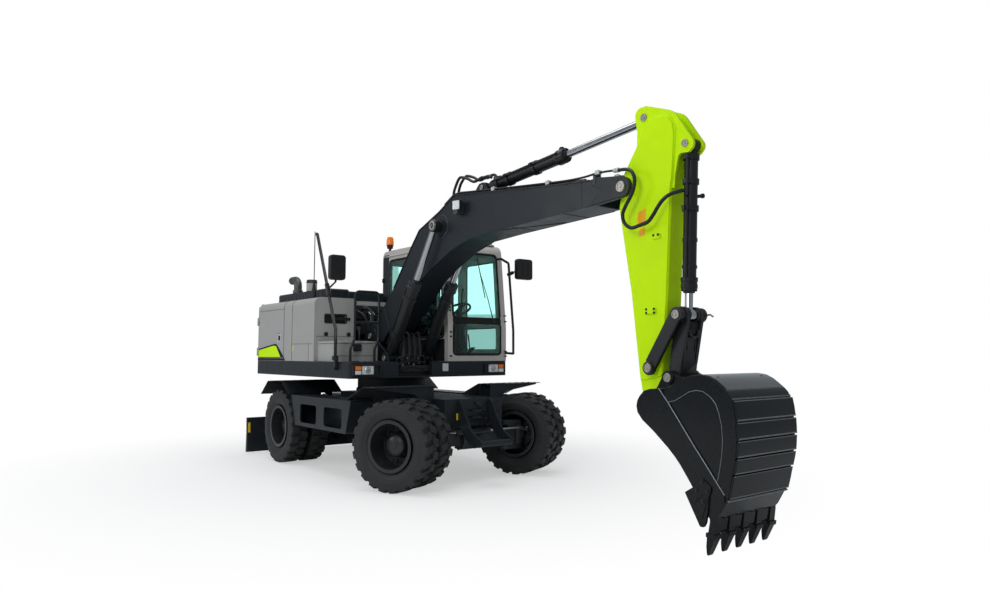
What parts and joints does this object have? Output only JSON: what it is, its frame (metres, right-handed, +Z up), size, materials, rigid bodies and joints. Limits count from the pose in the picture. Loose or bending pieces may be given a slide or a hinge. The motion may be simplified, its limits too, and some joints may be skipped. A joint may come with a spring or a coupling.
{
  "type": "wheeled excavator",
  "caption": "Wheeled excavator on twin tyres with a slewing upper structure, side cab, one-piece boom, arm, bucket and rear blade.",
  "frame": {"origin": "on the ground under the slew axis", "axes": "+X forward along the boom, +Y to the left, +Z up"},
  "size_m": [8.2666, 2.9608, 3.7566],
  "materials": {
    "paint_grey": "satin light grey paint",
    "paint_charcoal": "satin charcoal paint",
    "paint_green": "satin yellow-green paint",
    "paint_black": "satin black paint",
    "bucket_black": "dull near-black paint",
    "chrome": "polished chrome",
    "tyre": "matt tyre rubber",
    "glass": "tinted glass",
    "seat_fabric": "woven seat cloth",
    "black_plastic": "moulded black plastic",
    "lamp_plastic": "clear and orange lamp plastic",
    "cast_iron": "painted cast iron",
    "steel": "machined steel"
  },
  "bodies": {
    "chassis": {"chassis_frame": "paint_charcoal", "slew_ring": "steel", "front_fenders": "paint_charcoal", "rear_fenders": "paint_charcoal", "side_steps": "paint_charcoal", "front_step": "paint_charcoal", "front_axle": "cast_iron", "rear_axle": "cast_iron", "driveline": "cast_iron", "steering_cylinder": "paint_black"},
    "steering_rod": {"steering_rod": "chrome"},
    "knuckle_right": {"knuckle_right": "cast_iron"},
    "knuckle_left": {"knuckle_left": "cast_iron"},
    "wheels_front_right": {"rim_front_right": "paint_black", "tyres_front_right": "tyre"},
    "wheels_front_left": {"rim_front_left": "paint_black", "tyres_front_left": "tyre"},
    "wheels_rear_right": {"rim_rear_right": "paint_black", "tyres_rear_right": "tyre"},
    "wheels_rear_left": {"rim_rear_left": "paint_black", "tyres_rear_left": "tyre"},
    "blade": {"blade": "paint_charcoal"},
    "blade_cylinders": {"blade_cylinders": "paint_black"},
    "blade_rods": {"blade_rods": "chrome"},
    "house": {"platform": "paint_charcoal", "counterweight": "cast_iron", "hood": "paint_grey", "engine_cover": "paint_charcoal", "engine": "cast_iron", "storage_box": "paint_grey", "cab": "paint_grey", "cab_glass": "glass", "seat": "seat_fabric", "console": "black_plastic", "rails": "paint_black", "cab_rail": "paint_black", "mirrors": "black_plastic", "exhaust": "steel", "precleaner": "black_plastic", "aerial": "black_plastic", "lamps": "lamp_plastic"},
    "cab_door": {"cab_door": "paint_grey", "cab_door_glass": "glass"},
    "engine_door": {"engine_door": "paint_grey"},
    "cooler_door": {"cooler_door": "paint_grey"},
    "storage_lid": {"storage_lid": "paint_grey"},
    "boom": {"boom": "paint_charcoal", "boom_lines": "paint_black"},
    "boom_cylinders": {"boom_cylinders": "paint_black"},
    "boom_rods": {"boom_rods": "chrome"},
    "arm_cylinder": {"arm_cylinder": "paint_black"},
    "arm_rod": {"arm_rod": "chrome"},
    "arm": {"arm": "paint_green"},
    "bucket_cylinder": {"bucket_cylinder": "paint_black"},
    "bucket_rod": {"bucket_rod": "chrome"},
    "rocker_links": {"rocker_links": "paint_black"},
    "bucket_link": {"bucket_link": "paint_black"},
    "bucket": {"bucket": "bucket_black"}
  },
  "joints": [
    {"name": "slew", "type": "hinge", "parent": "chassis", "child": "house", "pos_m": [0, 0, 1.19], "axis": [0, 0, 1], "continuous": true},
    {"name": "steer_right", "type": "hinge", "parent": "chassis", "child": "knuckle_right", "pos_m": [1.785, -0.8, 0.51], "axis": [0, 0, 1], "range_deg": [-54.5, 5.5]},
    {"name": "steer_left", "type": "hinge", "parent": "chassis", "child": "knuckle_left", "pos_m": [1.785, 0.8, 0.51], "axis": [0, 0, 1], "range_deg": [-54.5, 5.5]},
    {"name": "steering_rod_slide", "type": "slide", "parent": "chassis", "child": "steering_rod", "axis": [0, 1, 0], "range_m": [-0.1264, 0.0129]},
    {"name": "spin_front_right", "type": "hinge", "parent": "knuckle_right", "child": "wheels_front_right", "pos_m": [1.785, -0.8, 0.51], "axis": [-0.4147, 0.91, 0], "continuous": true},
    {"name": "spin_front_left", "type": "hinge", "parent": "knuckle_left", "child": "wheels_front_left", "pos_m": [1.785, 0.8, 0.51], "axis": [-0.4147, 0.91, 0], "continuous": true},
    {"name": "spin_rear_right", "type": "hinge", "parent": "chassis", "child": "wheels_rear_right", "pos_m": [-1.05, -0.8, 0.51], "axis": [0, 1, 0], "continuous": true},
    {"name": "spin_rear_left", "type": "hinge", "parent": "chassis", "child": "wheels_rear_left", "pos_m": [-1.05, 0.8, 0.51], "axis": [0, 1, 0], "continuous": true},
    {"name": "blade_lift", "type": "hinge", "parent": "chassis", "child": "blade", "pos_m": [-1.45, 0, 0.4], "axis": [0, 1, 0], "range_deg": [-11, 30]},
    {"name": "blade_cylinder_pivot", "type": "hinge", "parent": "chassis", "child": "blade_cylinders", "pos_m": [-1.38, 0, 0.86], "axis": [0, 1, 0], "range_deg": [-7.6, 20.6]},
    {"name": "blade_rod_slide", "type": "slide", "parent": "blade_cylinders", "child": "blade_rods", "axis": [-0.8595, 0, -0.5111], "range_m": [-0.204, 0.075]},
    {"name": "boom_lift", "type": "hinge", "parent": "house", "child": "boom", "pos_m": [0.13, -0.2, 1.77], "axis": [0, -1, 0], "range_deg": [-40, 36]},
    {"name": "boom_cylinder_pivot", "type": "hinge", "parent": "house", "child": "boom_cylinders", "pos_m": [0.732, -0.2, 1.47], "axis": [0, -1, 0], "range_deg": [-42, 37.8]},
    {"name": "boom_rod_slide", "type": "slide", "parent": "boom_cylinders", "child": "boom_rods", "axis": [0.5443, 0, 0.8389], "range_m": [-0.422, 0.38]},
    {"name": "arm_swing", "type": "hinge", "parent": "boom", "child": "arm", "pos_m": [4.664, -0.2, 3.045], "axis": [0, 1, 0], "range_deg": [-65, 48]},
    {"name": "arm_cylinder_pivot", "type": "hinge", "parent": "boom", "child": "arm_cylinder", "pos_m": [2.45, -0.2, 3.445], "axis": [0, 1, 0], "range_deg": [-4.6, 3.4]},
    {"name": "arm_rod_slide", "type": "slide", "parent": "arm_cylinder", "child": "arm_rod", "axis": [0.9962, 0, 0.0876], "range_m": [-0.6245, 0.461]},
    {"name": "bucket_curl", "type": "hinge", "parent": "arm", "child": "bucket", "pos_m": [5.03, -0.2, 1.1], "axis": [0, 1, 0], "range_deg": [-12, 150]},
    {"name": "rocker_pivot", "type": "hinge", "parent": "arm", "child": "rocker_links", "pos_m": [4.94, -0.2, 1.411], "axis": [0, 1, 0], "range_deg": [-6.7, 82.6]},
    {"name": "link_pivot", "type": "hinge", "parent": "rocker_links", "child": "bucket_link", "pos_m": [5.241, -0.2, 1.862], "axis": [0, 1, 0], "range_deg": [-54.1, 4.4]},
    {"name": "bucket_cylinder_pivot", "type": "hinge", "parent": "arm", "child": "bucket_cylinder", "pos_m": [5.306, -0.2, 3.32], "axis": [0, 1, 0], "range_deg": [-11.3, 0.95]},
    {"name": "bucket_rod_slide", "type": "slide", "parent": "bucket_cylinder", "child": "bucket_rod", "axis": [-0.0445, 0, -0.999], "range_m": [-0.0535, 0.6605]},
    {"name": "cab_door_hinge", "type": "hinge", "parent": "house", "child": "cab_door", "pos_m": [0.0475, 1.224, 2.2], "axis": [0, 0, 1], "range_deg": [0, 170]},
    {"name": "engine_door_hinge", "type": "hinge", "parent": "house", "child": "engine_door", "pos_m": [-1.9025, -1.234, 1.8], "axis": [0, 0, -1], "range_deg": [0, 95]},
    {"name": "cooler_door_hinge", "type": "hinge", "parent": "house", "child": "cooler_door", "pos_m": [-1.9025, 1.234, 1.8], "axis": [0, 0, 1], "range_deg": [0, 95]},
    {"name": "storage_lid_hinge", "type": "hinge", "parent": "house", "child": "storage_lid", "pos_m": [0.07, -0.87, 1.675], "axis": [0, -1, 0], "range_deg": [0, 80]}
  ],
  "couplings": [
    {"joint": "steer_left", "follows": "steer_right", "ratio": 1},
    {"joint": "steering_rod_slide", "follows": "steer_right", "m_per_rad": 0.1327},
    {"joint": "blade_cylinder_pivot", "follows": "blade_lift", "ratio": 0.6826},
    {"joint": "blade_rod_slide", "follows": "blade_lift", "m_per_rad": -0.3889},
    {"joint": "boom_cylinder_pivot", "follows": "boom_lift", "ratio": 1.0484},
    {"joint": "boom_rod_slide", "follows": "boom_lift", "m_per_rad": 0.6039},
    {"joint": "arm_cylinder_pivot", "follows": "arm_swing", "ratio": 0.07},
    {"joint": "arm_rod_slide", "follows": "arm_swing", "m_per_rad": 0.55},
    {"joint": "rocker_pivot", "follows": "bucket_curl", "ratio": 0.55},
    {"joint": "link_pivot", "follows": "bucket_curl", "ratio": -0.36},
    {"joint": "bucket_cylinder_pivot", "follows": "bucket_curl", "ratio": -0.075},
    {"joint": "bucket_rod_slide", "follows": "bucket_curl", "m_per_rad": 0.252}
  ]
}
